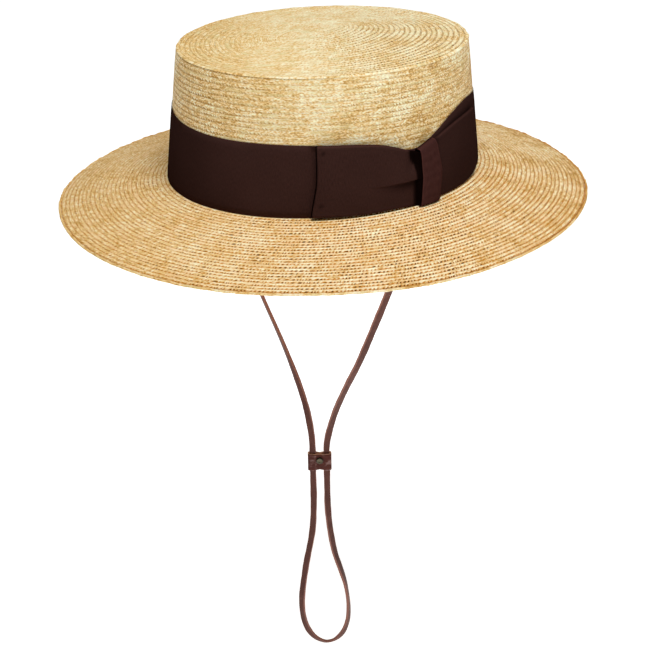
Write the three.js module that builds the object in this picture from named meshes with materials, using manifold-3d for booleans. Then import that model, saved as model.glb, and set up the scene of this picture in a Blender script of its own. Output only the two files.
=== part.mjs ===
// A straw boater hat with a ribbon band, a flat side bow and a leather chin strap.
//
// Millimetres, +Z up. The origin is the centre of the head opening, level with the headline.
// The hat's front faces -Y, and the bow is on the wearer's left, at +X.
// Angles run round the hat in degrees from +X towards +Y, as the parameter of its ovals.

import * as THREE from 'three';
import Module from 'manifold-3d';
import { mergeVertices } from 'three/addons/utils/BufferGeometryUtils.js';

const { lerp, degToRad, smoothstep } = THREE.MathUtils;

// ---------------------------------------------------------------- driving dimensions

const GAP = 0.3; // between pieces that touch
const EASE = 0.1; // more than that, between bent faces that lie on each other
const SEGMENTS = 96; // round every oval

const CROWN = {
  footX: 88.5, // half-axes of the outer wall at the headline
  footY: 100,
  tipX: 82.1, // half-axes of the outer wall at the tip
  tipY: 89.7,
  height: 76.1,
  wall: 2,
  edgeRadius: 2, // where the wall turns into the tip
};

const BRIM = {
  rimX: 156.9, // half-axes of the outer edge
  rimY: 164.8,
  drop: 14, // from the headline to the edge
  thick: 2.2,
  edgeChamfer: 0.6,
};

const BAND = { thick: 1, foot: GAP };

// Height of the band's upper edge round the crown: it dips under the knot of the bow.
const BAND_TOP = [
  { angle: -180, top: 43 },
  { angle: -125, top: 43 },
  { angle: -109, top: 41.2 },
  { angle: -90, top: 40.5 },
  { angle: -44, top: 39.9 },
  { angle: -30, top: 38.8 },
  { angle: -22, top: 37 },
  { angle: -15, top: 33.6 },
  { angle: -9, top: 30 },
  { angle: -4, top: 31.5 },
  { angle: 0.5, top: 35 },
  { angle: 9.5, top: 42.4 },
  { angle: 22, top: 46.4 },
  { angle: 34, top: 45.2 },
  { angle: 50, top: 43.4 },
  { angle: 70, top: 43 },
  { angle: 180, top: 43 },
];

const KNOT = {
  from: -10.4, // angles of its two edges
  to: -1.7,
  foot: 0.1,
  topFrom: 31.3, // height of its slanting upper edge at those angles
  topTo: 37.2,
  wall: 0.9,
  steps: 4,
};

const WING_THICK = 2.4; // two layers of ribbon, folded at the free end
const WING_OUT = BAND.thick + 2 * GAP + EASE; // back of a wing, out from the crown wall
const WING_OUT_IN_KNOT = WING_OUT + KNOT.wall + GAP + EASE;
const WING_STEPS = 12;

// A wing from its free end to the end inside the knot: lower edge, upper edge, and how far its
// back stands out from the crown wall.
const FRONT_WING = [
  { angle: -45, foot: 0.4, top: 40.4, out: WING_OUT },
  { angle: -34, foot: 0.4, top: 39.8, out: WING_OUT },
  { angle: -27, foot: 0.4, top: 38.9, out: WING_OUT },
  { angle: -22, foot: 0.4, top: 37.5, out: WING_OUT },
  { angle: -16, foot: 0.4, top: 34.4, out: WING_OUT },
  { angle: -10.8, foot: 1.4, top: 29.7, out: WING_OUT_IN_KNOT },
  { angle: -6.4, foot: 1.4, top: 30.6, out: WING_OUT_IN_KNOT },
];

const REAR_WING = [
  { angle: -5.6, foot: 1.4, top: 32.6, out: WING_OUT_IN_KNOT },
  { angle: -1.3, foot: 1.4, top: 34, out: WING_OUT_IN_KNOT },
  { angle: 4, foot: 0.4, top: 35.6, out: WING_OUT },
  { angle: 9, foot: 0.4, top: 37.6, out: WING_OUT },
  { angle: 14, foot: 0.4, top: 38.9, out: WING_OUT },
  { angle: 22, foot: 1.2, top: 39.6, out: WING_OUT },
  { angle: 29, foot: 3, top: 39.4, out: WING_OUT },
];

const LACE = { width: 3.8, thick: 1.9, chamfer: 0.55, steps: 78 };

const SLIDER = {
  x: -4.8, // its middle
  y: -5,
  z: -218,
  turn: 46, // direction of its long side
  legs: 4.8, // from its middle to each leg of the lace
  height: 12,
  wall: 1.2,
  waist: 3.8, // depth between the legs, where the stud goes through
  waistHalfWidth: 2.3,
  shoulder: 1.2, // from the waist to full depth, along the long side
  corner: 1.5, // rounding of the outer corners
};

const STUD = {
  capRadius: 2.2,
  capHeight: 1.1,
  shankRadius: 0.8,
  backRadius: 1.8,
  backHeight: 0.6,
  facets: 24,
};

// The lace's centreline, from the wearer's right to the left. `across` is the direction of its
// width seen from above, in degrees, so that the lace lies flat on the inner wall at both ends,
// turns to pass flat through the slider, and stands on edge round the bottom of its loop.
const LACE_ROUTE = [
  { x: -83.4, y: -9.9, z: 15, across: 95 },
  { x: -84.6, y: -10, z: 1, across: 95 },
  { x: -83.2, y: -10, z: -22, across: 102 },
  { x: -77, y: -9.8, z: -56, across: 114 },
  { x: -66.8, y: -9.4, z: -84, across: 126 },
  { x: -53.8, y: -9, z: -105.8, across: 138 },
  { x: -33.5, y: -8.8, z: -136.5, across: 154 },
  { x: -20.5, y: -8.6, z: -159.8, across: 176 },
  { x: -13.3, y: -8.5, z: -176.8, across: 198 },
  { x: -10.6, y: -8.4, z: -187.2, across: 211 },
  { x: -8.6, y: -8.4, z: -198, across: 221 },
  { x: -8.1, y: -8.4, z: -207, across: 226 },
  { x: -8.1, y: -8.4, z: -218, across: 226 },
  { x: -8.1, y: -8.4, z: -229, across: 226 },
  { x: -8.1, y: -8.4, z: -250, across: 224 },
  { x: -9.1, y: -9.4, z: -275, across: 220 },
  { x: -13, y: -13.4, z: -308, across: 212 },
  { x: -15.3, y: -15.8, z: -338, across: 188 },
  { x: -14.3, y: -14.8, z: -355.5, across: 164 },
  { x: -11.6, y: -12, z: -366.3, across: 148 },
  { x: -8.3, y: -8.6, z: -372.2, across: 138 },
  { x: -4.1, y: -4.2, z: -375.4, across: 136 },
  { x: -1.2, y: -1.3, z: -375.1, across: 136 },
  { x: 1.8, y: 1.9, z: -373, across: 136 },
  { x: 5.3, y: 5.5, z: -366.8, across: 136 },
  { x: 7.7, y: 8, z: -356.3, across: 136 },
  { x: 8.3, y: 8.6, z: -345.9, across: 136 },
  { x: 8, y: 8.3, z: -335.5, across: 136 },
  { x: 6.7, y: 7, z: -322, across: 133 },
  { x: 4.3, y: 4.5, z: -308.3, across: 121 },
  { x: 1.8, y: 1.9, z: -295, across: 112 },
  { x: -0.3, y: -0.3, z: -275.3, across: 96 },
  { x: -1.3, y: -1.4, z: -256, across: 76 },
  { x: -1.45, y: -1.5, z: -240, across: 52 },
  { x: -1.45, y: -1.5, z: -229, across: 46 },
  { x: -1.45, y: -1.5, z: -218, across: 46 },
  { x: -1.45, y: -1.5, z: -207, across: 46 },
  { x: 0.1, y: -1.6, z: -198, across: 50 },
  { x: 8.3, y: -2.4, z: -174.6, across: 68 },
  { x: 20.3, y: -3.7, z: -150.5, across: 66 },
  { x: 33.1, y: -5, z: -127.2, across: 60 },
  { x: 47.1, y: -6.5, z: -98.3, across: 56 },
  { x: 62.1, y: -8, z: -65.6, across: 58 },
  { x: 73.4, y: -9.2, z: -38, across: 68 },
  { x: 81.4, y: -9.9, z: -14, across: 80 },
  { x: 84.5, y: -10, z: 0, across: 85 },
  { x: 83.4, y: -9.9, z: 15, across: 85 },
];

// ---------------------------------------------------------------- shared shapes

// A point on an oval, moved `out` along the oval's own normal.
function ovalPoint(halfX, halfY, angle, out, z) {
  const c = Math.cos(degToRad(angle));
  const s = Math.sin(degToRad(angle));
  const normal = new THREE.Vector2(halfY * c, halfX * s).normalize();
  return new THREE.Vector3(halfX * c + out * normal.x, halfY * s + out * normal.y, z);
}

// A point `out` from the outer face of the crown's wall.
function crownPoint(angle, z, out) {
  const up = z / CROWN.height;
  return ovalPoint(lerp(CROWN.footX, CROWN.tipX, up), lerp(CROWN.footY, CROWN.tipY, up), angle, out, z);
}

// One full turn of points, from a function of the angle.
function ring(pointAt) {
  return Array.from({ length: SEGMENTS }, (_, k) => pointAt(-180 + (360 * k) / SEGMENTS));
}

// The value of a column at an angle, eased from row to row.
function columnAt(table, column, angle) {
  const next = Math.max(1, table.findIndex((row) => row.angle >= angle));
  const [a, b] = [table[next - 1], table[next]];
  return lerp(a[column], b[column], smoothstep(angle, a.angle, b.angle));
}

// A closed skin through rings of equally many points. Joined, the last ring meets the first;
// otherwise a fan closes each end.
function loft(rings, joined) {
  const count = rings[0].length;
  const points = rings.flat();
  const triangles = [];
  const spans = joined ? rings.length : rings.length - 1;
  for (let r = 0; r < spans; r++) {
    const low = r * count;
    const high = ((r + 1) % rings.length) * count;
    for (let k = 0; k < count; k++) {
      const n = (k + 1) % count;
      triangles.push([low + k, low + n, high + n], [low + k, high + n, high + k]);
    }
  }
  if (!joined) {
    for (const [start, flip] of [[0, true], [(rings.length - 1) * count, false]]) {
      const middle = points.slice(start, start + count).reduce((sum, p) => sum.clone().add(p));
      const centre = points.push(middle.divideScalar(count)) - 1;
      for (let k = 0; k < count; k++) {
        const n = (k + 1) % count;
        const [a, b] = flip ? [n, k] : [k, n];
        triangles.push([start + a, start + b, centre]);
      }
    }
  }
  return solid(points, triangles);
}

// A geometry whose faces point outwards, whichever way its triangles were listed.
function solid(points, triangles) {
  const volume = triangles.reduce((sum, [a, b, c]) => {
    return sum + points[a].dot(points[b].clone().cross(points[c])) / 6;
  }, 0);
  const faces = volume < 0 ? triangles.map(([a, b, c]) => [a, c, b]) : triangles;
  const geometry = new THREE.BufferGeometry().setFromPoints(points);
  geometry.setIndex(faces.flat());
  geometry.computeVertexNormals();
  return geometry;
}

// ---------------------------------------------------------------- straw

function crownGeometry() {
  const { height, wall, edgeRadius } = CROWN;
  const turns = [90, 60, 30, 0];
  const edge = turns.map((turn) => ({
    z: height - edgeRadius + edgeRadius * Math.sin(degToRad(turn)),
    out: -edgeRadius + edgeRadius * Math.cos(degToRad(turn)),
  }));
  const profile = [
    ...edge,
    { z: GAP, out: 0 },
    { z: GAP, out: -wall },
    { z: height - wall, out: -wall },
  ];
  return loft(profile.map(({ z, out }) => ring((angle) => crownPoint(angle, z, out))), false);
}

function brimGeometry() {
  const { rimX, rimY, drop, thick, edgeChamfer } = BRIM;
  const inner = (out, z) => ring((angle) => ovalPoint(CROWN.footX, CROWN.footY, angle, out, z));
  const rim = (out, z) => ring((angle) => ovalPoint(rimX, rimY, angle, out, z));
  const rings = [
    inner(-CROWN.wall, 0),
    inner(0, 0),
    rim(-edgeChamfer, -drop),
    rim(0, -drop - edgeChamfer),
    rim(0, -drop - thick + edgeChamfer),
    rim(-edgeChamfer, -drop - thick),
    inner(0, -thick),
    inner(-CROWN.wall, -thick),
  ];
  return loft(rings, true);
}

// ---------------------------------------------------------------- ribbon

function bandGeometry() {
  const top = (angle) => columnAt(BAND_TOP, 'top', angle);
  const [back, front] = [GAP, GAP + BAND.thick];
  const rings = [
    ring((angle) => crownPoint(angle, BAND.foot, back)),
    ring((angle) => crownPoint(angle, BAND.foot, front)),
    ring((angle) => crownPoint(angle, top(angle), front)),
    ring((angle) => crownPoint(angle, top(angle), back)),
  ];
  return loft(rings, true);
}

function wingGeometry(table) {
  const [first, last] = [table[0].angle, table[table.length - 1].angle];
  const sections = [];
  for (let k = 0; k <= WING_STEPS; k++) {
    const angle = lerp(first, last, k / WING_STEPS);
    const foot = columnAt(table, 'foot', angle);
    const top = columnAt(table, 'top', angle);
    const out = columnAt(table, 'out', angle);
    sections.push([
      crownPoint(angle, foot, out),
      crownPoint(angle, foot, out + WING_THICK),
      crownPoint(angle, top, out + WING_THICK),
      crownPoint(angle, top, out),
    ]);
  }
  return loft(sections, false);
}

// A sleeve round the wings' inner ends: four corners, each a strip from edge to edge and back.
function knotGeometry() {
  const { from, to, foot, topFrom, topTo, wall, steps } = KNOT;
  const hollow = WING_THICK + 2 * (GAP + EASE);
  const angles = Array.from({ length: steps + 1 }, (_, k) => lerp(from, to, k / steps));
  const top = (angle) => lerp(topFrom, topTo, (angle - from) / (to - from));
  const point = (angle, inFront, above, inset) => {
    const out = inFront ? WING_OUT + 2 * wall + hollow - inset : WING_OUT + inset;
    return crownPoint(angle, above ? top(angle) - inset : foot + inset, out);
  };
  const corners = [[false, false], [true, false], [true, true], [false, true]];
  const strips = corners.map(([inFront, above]) => [
    ...angles.map((angle) => point(angle, inFront, above, 0)),
    ...angles.toReversed().map((angle) => point(angle, inFront, above, wall)),
  ]);
  return loft(strips, true);
}

// ---------------------------------------------------------------- leather and metal

// The route, with frames that follow the lace's own twist.
class LaceCurve extends THREE.CatmullRomCurve3 {
  constructor(route) {
    super(route.map(({ x, y, z }) => new THREE.Vector3(x, y, z)), false, 'centripetal');
    this.across = route.map((row) => row.across);
  }

  acrossAt(u) {
    const place = this.getUtoTmapping(u) * (this.across.length - 1);
    const before = Math.min(Math.floor(place), this.across.length - 2);
    return lerp(this.across[before], this.across[before + 1], place - before);
  }

  computeFrenetFrames(segments) {
    const frames = { tangents: [], normals: [], binormals: [] };
    for (let k = 0; k <= segments; k++) {
      const u = k / segments;
      const tangent = this.getTangentAt(u);
      const angle = degToRad(this.acrossAt(u));
      const normal = new THREE.Vector3(Math.cos(angle), Math.sin(angle), 0);
      normal.addScaledVector(tangent, -normal.dot(tangent)).normalize();
      frames.tangents.push(tangent);
      frames.normals.push(normal);
      frames.binormals.push(tangent.clone().cross(normal));
    }
    return frames;
  }
}

function laceGeometry() {
  const { width, thick, chamfer, steps } = LACE;
  const [w, t] = [width / 2, thick / 2];
  const corner = [
    [w, t - chamfer],
    [w - chamfer, t],
    [-w + chamfer, t],
    [-w, t - chamfer],
  ];
  const outline = [...corner, ...corner.map(([x, y]) => [-x, -y])];
  const section = new THREE.Shape(outline.map(([x, y]) => new THREE.Vector2(x, y)));
  return new THREE.ExtrudeGeometry(section, { steps, extrudePath: new LaceCurve(LACE_ROUTE) });
}

// A keeper drawn in at the stud, with a channel for each leg of the lace.
function sliderGeometry(wasm) {
  const { legs, height, wall, waist, waistHalfWidth, shoulder, corner } = SLIDER;
  const halfDepth = LACE.thick / 2 + GAP + wall;
  const halfWidth = legs + LACE.width / 2 + GAP + wall;
  const arc = corner * (1 - Math.SQRT1_2); // the rounding's middle, in from the sharp corner
  const quarter = [
    [waistHalfWidth, waist / 2],
    [waistHalfWidth + shoulder, halfDepth],
    [halfWidth - corner, halfDepth],
    [halfWidth - arc, halfDepth - arc],
    [halfWidth, halfDepth - corner],
  ];
  const mirrored = quarter.map(([x, y]) => [x, -y]);
  const side = [...mirrored, ...quarter.toReversed()];
  const outline = [...side, ...side.map(([x, y]) => [-x, -y])];
  const shape = new THREE.Shape(outline.map(([x, y]) => new THREE.Vector2(x, y)));
  const body = new THREE.ExtrudeGeometry(shape, { depth: height, bevelEnabled: false });
  body.translate(0, 0, -height / 2);
  const channels = [-legs, legs].map((middle) => {
    const channel = new THREE.BoxGeometry(LACE.width + 2 * GAP, LACE.thick + 2 * GAP, 2 * height);
    return channel.translate(middle, 0, 0);
  });
  const boreRadius = STUD.shankRadius + GAP;
  const bore = new THREE.CylinderGeometry(boreRadius, boreRadius, 2 * waist, STUD.facets);
  return subtract(wasm, body, [...channels, bore]);
}

// A rivet along Y: domed cap in front, shank, and flat cap behind.
function studGeometry() {
  const { capRadius, capHeight, shankRadius, backRadius, backHeight, facets } = STUD;
  const seat = SLIDER.waist / 2 + GAP;
  const dome = [90, 60, 30, 0].map((turn) => [
    capRadius * Math.cos(degToRad(turn)),
    seat + capHeight * Math.sin(degToRad(turn)),
  ]);
  const profile = [
    [0, -seat - backHeight],
    [backRadius, -seat - backHeight],
    [backRadius, -seat],
    [shankRadius, -seat],
    [shankRadius, seat],
    ...dome.toReversed(),
  ];
  profile[profile.length - 1][0] = 0;
  return new THREE.LatheGeometry(profile.map(([x, y]) => new THREE.Vector2(x, y)), facets);
}

const WELD = 1e-5; // corners nearer than this are one

// The body without what the tools take away.
function subtract(wasm, body, tools) {
  const [whole, ...cuts] = [body, ...tools].map((geometry) => {
    const plain = geometry.clone();
    plain.deleteAttribute('normal');
    plain.deleteAttribute('uv');
    const merged = mergeVertices(plain, WELD);
    const vertProperties = new Float32Array(merged.attributes.position.array);
    const triVerts = new Uint32Array(merged.index.array);
    return new wasm.Manifold(new wasm.Mesh({ numProp: 3, vertProperties, triVerts }));
  });
  const { vertProperties, triVerts } = cuts.reduce((rest, cut) => rest.subtract(cut), whole).getMesh();
  const geometry = new THREE.BufferGeometry();
  geometry.setAttribute('position', new THREE.BufferAttribute(vertProperties, 3));
  geometry.setIndex(new THREE.BufferAttribute(triVerts, 1));
  geometry.computeVertexNormals();
  return geometry;
}

// ---------------------------------------------------------------- the hat

const straw = new THREE.MeshStandardMaterial({ color: 0xd9b678, roughness: 0.6 });
const ribbon = new THREE.MeshStandardMaterial({ color: 0x33201c, roughness: 0.65 });
const knotRibbon = new THREE.MeshStandardMaterial({ color: 0x402423, roughness: 0.65 });
const laceLeather = new THREE.MeshStandardMaterial({ color: 0x5f3c34, roughness: 0.5 });
const sliderLeather = new THREE.MeshStandardMaterial({ color: 0x552d26, roughness: 0.45 });
const brass = new THREE.MeshStandardMaterial({ color: 0x5a5541, roughness: 0.4, metalness: 0.8 });

function named(name, geometry, material) {
  const mesh = new THREE.Mesh(geometry, material);
  mesh.name = name;
  return mesh;
}

const wasm = await Module();
wasm.setup();

const hat = new THREE.Group();
hat.add(named('crown', crownGeometry(), straw));
hat.add(named('brim', brimGeometry(), straw));
hat.add(named('hat_band', bandGeometry(), ribbon));
hat.add(named('bow_front_wing', wingGeometry(FRONT_WING), ribbon));
hat.add(named('bow_rear_wing', wingGeometry(REAR_WING), ribbon));
hat.add(named('bow_knot', knotGeometry(), knotRibbon));

const strap = new THREE.Group();
strap.add(named('chin_strap', laceGeometry(), laceLeather));

// The keeper's own +Y is its front, towards the hat's front left.
const keeper = new THREE.Group();
keeper.position.set(SLIDER.x, SLIDER.y, SLIDER.z);
keeper.rotation.z = degToRad(SLIDER.turn + 180);
keeper.add(named('strap_slider', sliderGeometry(wasm), sliderLeather));
keeper.add(named('slider_stud', studGeometry(), brass));
strap.add(keeper);
hat.add(strap);

export default hat;
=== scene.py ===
"""Looks of a straw boater hat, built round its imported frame.

The hat's sewn straw braid, ribbon band, flat side bow and leather chin strap are each an
operator in the panel "Boater". Shapes are worked out in millimetres and degrees, with angles
running round the hat from +X towards +Y, and `skin` turns them into metres.
"""

import math
from functools import partialmethod

import bpy
import numpy as np
from bpy.props import FloatProperty, FloatVectorProperty, PointerProperty
from mathutils import Matrix, Vector


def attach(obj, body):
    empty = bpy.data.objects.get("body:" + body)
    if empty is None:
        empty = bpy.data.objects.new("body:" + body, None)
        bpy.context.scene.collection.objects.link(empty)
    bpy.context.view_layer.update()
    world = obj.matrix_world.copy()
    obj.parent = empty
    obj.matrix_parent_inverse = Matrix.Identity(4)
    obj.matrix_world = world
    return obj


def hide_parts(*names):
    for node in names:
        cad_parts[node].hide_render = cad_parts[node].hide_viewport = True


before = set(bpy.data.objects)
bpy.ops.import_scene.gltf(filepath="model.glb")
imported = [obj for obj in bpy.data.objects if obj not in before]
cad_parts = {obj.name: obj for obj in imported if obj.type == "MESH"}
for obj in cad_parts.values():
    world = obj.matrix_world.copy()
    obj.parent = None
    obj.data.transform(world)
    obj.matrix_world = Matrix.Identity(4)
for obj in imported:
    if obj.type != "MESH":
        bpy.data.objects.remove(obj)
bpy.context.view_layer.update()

bl_info = {
    "name": "Straw Boater",
    "version": (1, 0, 0),
    "blender": (4, 5, 0),
    "location": "3D View > Sidebar > Boater",
    "description": "Builds a straw boater hat with a ribbon bow and a leather chin strap",
    "category": "Add Mesh",
}

MM = 0.001


def linear(red, green, blue):
    """A screen colour, 0 to 255, as the linear colour that shaders take."""
    shares = (value / 255 for value in (red, green, blue))
    return tuple(s / 12.92 if s < 0.04045 else ((s + 0.055) / 1.055) ** 2.4 for s in shares)


def scaled(shade, factor, lift=0.0):
    """A shade times a factor, plus a little grey, and no brighter than white."""
    return tuple(min(1, part * factor + lift) for part in shade)


def millimetres(name, description, default):
    """A length setting, held in metres."""
    return FloatProperty(
        name=name, description=description, default=default * MM, precision=5, unit="LENGTH"
    )


def amount(name, description, default, unit="NONE"):
    """A plain number setting."""
    return FloatProperty(name=name, description=description, default=default, unit=unit)


def colour(name, description, *screen):
    """A colour setting with its default as a screen colour, 0 to 255."""
    return FloatVectorProperty(
        name=name, description=description, default=linear(*screen), subtype="COLOR", min=0, max=1
    )


# -------- settings


class StrawSettings(bpy.types.PropertyGroup):
    """Sizes and colours of the sewn straw braid."""

    ridge: millimetres("Ridge", "How far a row of braid stands up over its neighbour", 0.36)
    stitch: millimetres("Stitch", "Length of a strand along its row", 2.2)
    cream: colour("Cream", "Palest strands", 252, 240, 206)
    wheat: colour("Wheat", "Common strands", 243, 216, 160)
    tan: colour("Tan", "Darkest strands", 188, 140, 72)
    gold: colour("Gold", "Deeper strands", 232, 190, 118)
    olive: colour("Olive", "Strands with a green cast", 226, 208, 150)
    blush: colour("Blush", "Strands with a warm cast", 244, 208, 158)
    # ochre, umber and gap colour the braid's grooves, seams and holes: partly the straw's own dark
    # edges and gaps, partly painted shade in them
    ochre: colour("Ochre", "Grooves and seams of the tip and the brim", 204, 132, 42)
    umber: colour("Umber", "Grooves and seams of the side", 182, 136, 66)
    gap: colour("Gap", "Holes between strands", 100, 54, 4)


class RibbonSettings(bpy.types.PropertyGroup):
    """Sizes and colours of the ribbon."""

    cloth: millimetres("Cloth", "Thickness of the ribbon", 0.4)
    rib: millimetres("Rib", "Distance between the ribbon's ribs", 0.75)
    brown: colour("Brown", "Ribbon of the band and the bow", 53, 32, 28)
    knot: colour("Knot", "Ribbon of the knot", 66, 38, 35)


class LeatherSettings(bpy.types.PropertyGroup):
    """Sizes and colours of the chin strap, its keeper and its rivet."""

    width: millimetres("Lace width", "Width of the flat lace", 4.4)
    thick: millimetres("Lace thickness", "Thickness of the flat lace", 2.2)
    lace: colour("Lace", "Faces of the lace", 98, 60, 52)
    cut: colour("Cut edge", "Raw cut edges of the leather", 158, 112, 100)
    # the keeper's rim: its raw cut edge, and painted paler than the lace's cut edges as painted light
    # on its top
    rim: colour("Keeper's rim", "Raw cut rim of the keeper", 226, 190, 184)
    keeper: colour("Keeper", "Face of the keeper", 88, 42, 34)
    brass: colour("Brass", "Rivet", 84, 77, 58)


class StageSettings(bpy.types.PropertyGroup):
    """The floor and the light."""

    floor: millimetres("Floor", "Height of the floor below the headline", -400)
    pale: colour("Pale", "Floor and backdrop", 250, 250, 250)
    key: amount("Key light", "Power of the key light", 18, "POWER")
    left: amount("Left fill", "Power of the left light", 0.3, "POWER")
    right: amount("Right fill", "Power of the right light", 0.3, "POWER")
    sky: amount("Sky", "Strength of the light from all sides", 0.08)
    glow: amount("Floor glow", "Light that the floor adds itself", 0.95)


class BoaterSettings(bpy.types.PropertyGroup):
    """All settings of the hat."""

    straw: PointerProperty(type=StrawSettings)
    ribbon: PointerProperty(type=RibbonSettings)
    leather: PointerProperty(type=LeatherSettings)
    stage: PointerProperty(type=StageSettings)


# -------- materials


class Value:
    """A socket in a material. Arithmetic on it, with numbers or values, adds Math nodes."""

    def __init__(self, finish, socket):
        self.finish = finish
        self.socket = socket

    def math(self, operation, *others, clamp=False):
        """This value and the others, put through a Math node."""
        settings = {"operation": operation, "use_clamp": clamp}
        return self.finish.node("ShaderNodeMath", settings, dict(enumerate((self, *others))))

    __add__ = __radd__ = partialmethod(math, "ADD")
    __mul__ = __rmul__ = partialmethod(math, "MULTIPLY")
    __sub__ = partialmethod(math, "SUBTRACT")
    __abs__ = partialmethod(math, "ABSOLUTE")
    floor = partialmethod(math, "FLOOR")
    fract = partialmethod(math, "FRACT")
    sin = partialmethod(math, "SINE")
    clamp = partialmethod(math, "ADD", 0.0, clamp=True)

    def __rsub__(self, other):
        return self.finish.node("ShaderNodeMath", {"operation": "SUBTRACT"}, {0: other, 1: self})

    def ease(self, low, high):
        """0 at low, 1 at high, and a smooth S between them."""
        settings = {"interpolation_type": "SMOOTHSTEP"}
        return self.finish.node("ShaderNodeMapRange", settings, {0: self, 1: low, 2: high})


class Finish:
    """A material and its nodes."""

    def __init__(self, name):
        self.material = bpy.data.materials.new(name)
        self.material.use_nodes = True
        self.tree = self.material.node_tree
        self.tree.nodes.clear()

    def node(self, kind, settings=None, inputs=None, outlet=0):
        """Adds a node, gives it its settings, then its sockets' values or links."""
        node = self.tree.nodes.new(kind)
        for key, value in (settings or {}).items():
            if key == "stops":
                self.fill_ramp(node.color_ramp, value)
            else:
                setattr(node, key, value)
        for key, value in (inputs or {}).items():
            if isinstance(value, Value):
                self.tree.links.new(value.socket, node.inputs[key])
            else:
                node.inputs[key].default_value = value
        return Value(self, node.outputs[outlet]) if node.outputs else None

    @staticmethod
    def fill_ramp(ramp, stops):
        """Gives a colour ramp its stops, each a place from 0 to 1 and a shade."""
        while len(ramp.elements) < len(stops):
            ramp.elements.new(1.0)
        for element, (place, shade) in zip(ramp.elements, stops):
            element.position = place
            element.color = (*shade, 1)

    def parts(self, vector):
        """The three parts of a vector."""
        split = self.node("ShaderNodeSeparateXYZ", None, {0: vector}).socket.node
        return [Value(self, outlet) for outlet in split.outputs]

    def surface_map(self):
        """The two coordinates that a piece carries for its pattern."""
        return self.parts(self.node("ShaderNodeUVMap", {"uv_map": "map"}))[:2]

    def mark(self, name):
        """A number that the piece's points carry under a name."""
        return self.node("ShaderNodeAttribute", {"attribute_name": name}, outlet="Fac")

    def place(self):
        """The point of the piece, in metres from the hat's origin."""
        return self.node("ShaderNodeTexCoord", outlet="Object")

    def level_ways(self):
        """How far the point lies to the back left and to the back right, in metres."""
        x, y, _ = self.parts(self.place())
        return x * BACK_LEFT[0] + y * BACK_LEFT[1], y * BACK_LEFT[0] - x * BACK_LEFT[1]

    def point(self, x, y, z=0.0):
        """A vector from its three parts."""
        return self.node("ShaderNodeCombineXYZ", None, {0: x, 1: y, 2: z})

    def chance(self, x, y, z=0.0):
        """A number from 0 to 1 that differs from point to point without any order."""
        settings = {"noise_dimensions": "3D"}
        return self.node("ShaderNodeTexWhiteNoise", settings, {"Vector": self.point(x, y, z)})

    def cloud(self, point, scale, detail):
        """Soft noise from 0 to 1."""
        inputs = {"Vector": point, "Scale": scale, "Detail": detail}
        return self.node("ShaderNodeTexNoise", {"noise_dimensions": "3D"}, inputs)

    def streaks(self, x, y, z=0.0, detail=2):
        """Soft noise from 0 to 1 over coordinates that are each stretched by their caller."""
        return self.cloud(self.point(x, y, z), 1.0, detail)

    def ramp(self, factor, stops):
        """A colour picked from stops by a factor from 0 to 1."""
        return self.node("ShaderNodeValToRGB", {"stops": stops}, {0: factor})

    def mix(self, factor, first, second):
        """A colour between two colours, each a link or a plain colour."""
        first, second = (c if isinstance(c, Value) else (*c, 1) for c in (first, second))
        return self.node("ShaderNodeMix", {"data_type": "RGBA"}, {0: factor, 6: first, 7: second}, 2)

    def bump(self, height, distance, strength):
        """A normal bent by a height from 0 to 1 that stands for a distance in metres."""
        inputs = {"Strength": strength, "Distance": distance, "Height": height}
        return self.node("ShaderNodeBump", None, inputs, "Normal")

    def surface(self, **inputs):
        """Ends the material in a Principled surface with those inputs."""
        named = {key.replace("_", " "): value for key, value in inputs.items()}
        shader = self.node("ShaderNodeBsdfPrincipled", None, named)
        self.node("ShaderNodeOutputMaterial", None, {"Surface": shader})
        return self.material


# -------- meshes


def smooth(x, low, high):
    """0 at low, 1 at high, and the S curve 3t^2 - 2t^3 between them."""
    t = np.clip((x - low) / (high - low), 0, 1)
    return t * t * (3 - 2 * t)


def hump(x, low, high):
    """Half a sine wave from low to high, and 0 outside."""
    return np.sin(np.pi * np.clip((x - low) / (high - low), 0, 1))


def squared(part, power):
    """A cosine or sine raised to a power below 1 with its sign kept, which squares a circle."""
    return np.sign(part) * abs(part) ** power


def circle(count, start=0.0):
    """Cosines and sines of evenly spaced places round a circle, from a start in degrees."""
    turn = np.radians(np.arange(count) * 360 / count + start)
    return np.cos(turn), np.sin(turn)


def waves(x, *terms):
    """A sum of sines, each given by its size, how quickly it goes with x, and its shift."""
    return sum(size * np.sin(count * x + shift) for size, count, shift in terms)


def eased(table, x):
    """A table's value at x: cubic spans that take the neighbouring rows' slope at each row."""
    places, values = np.array(table, float).T
    slopes = np.gradient(values, places)
    row = np.clip(np.searchsorted(places, x) - 1, 0, len(places) - 2)
    gap = places[row + 1] - places[row]
    t = np.clip((x - places[row]) / gap, 0, 1)
    rise = t * t * (3 - 2 * t)
    bend = gap * t * (1 - t) * (slopes[row] * (1 - t) - slopes[row + 1] * t)
    return values[row] + (values[row + 1] - values[row]) * rise + bend


def pattern(along, across):
    """Map coordinates of a skin: `along` over its columns and `across` over its rows."""
    v = np.stack([across[:-1], across[1:]], 1)[:, :, None]
    return np.stack(np.broadcast_arrays(along[None, None, :], v), -1)


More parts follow.
